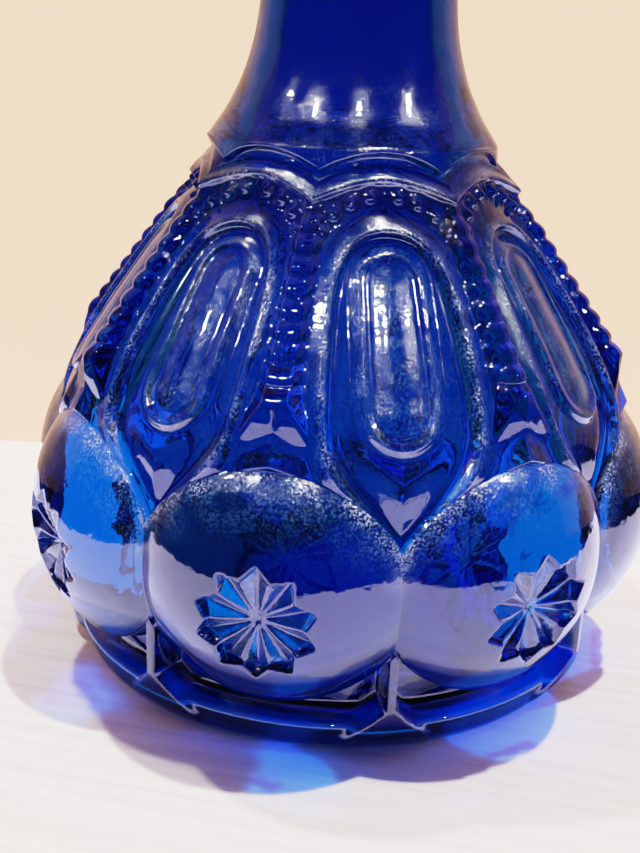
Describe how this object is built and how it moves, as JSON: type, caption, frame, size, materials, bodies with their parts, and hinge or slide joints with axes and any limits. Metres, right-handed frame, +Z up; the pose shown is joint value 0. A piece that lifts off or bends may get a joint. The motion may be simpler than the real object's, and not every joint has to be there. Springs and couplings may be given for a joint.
{
  "type": "pressed glass bottle with stopper",
  "caption": "Bulbous cobalt glass bottle with round bosses, sunk stars, arched panels and ribbed ridges, closed by a glass stopper in a cork sleeve.",
  "frame": {"origin": "middle of the standing ring, at table level", "axes": "+Z up along the bottle's axis, with one boss facing -Y"},
  "size_m": [0.1174, 0.1174, 0.231],
  "materials": {
    "bottle_glass": "glossy, fire polished, faint orange peel on the pressed ornament",
    "stopper_glass": "glossy, fire polished",
    "cork": "matt natural cork"
  },
  "bodies": {
    "bottle": {"bottle": "bottle_glass"},
    "cork_sleeve": {"cork_sleeve": "cork"},
    "glass_stopper": {"glass_stopper": "stopper_glass"}
  },
  "joints": [
    {"name": "stopper_lift", "type": "slide", "parent": "bottle", "child": "cork_sleeve", "axis": [0, 0, 1], "range_m": [0, 0.045]},
    {"name": "stopper_twist", "type": "hinge", "parent": "cork_sleeve", "child": "glass_stopper", "pos_m": [0, 0, 0.19], "axis": [0, 0, 1], "continuous": true}
  ]
}
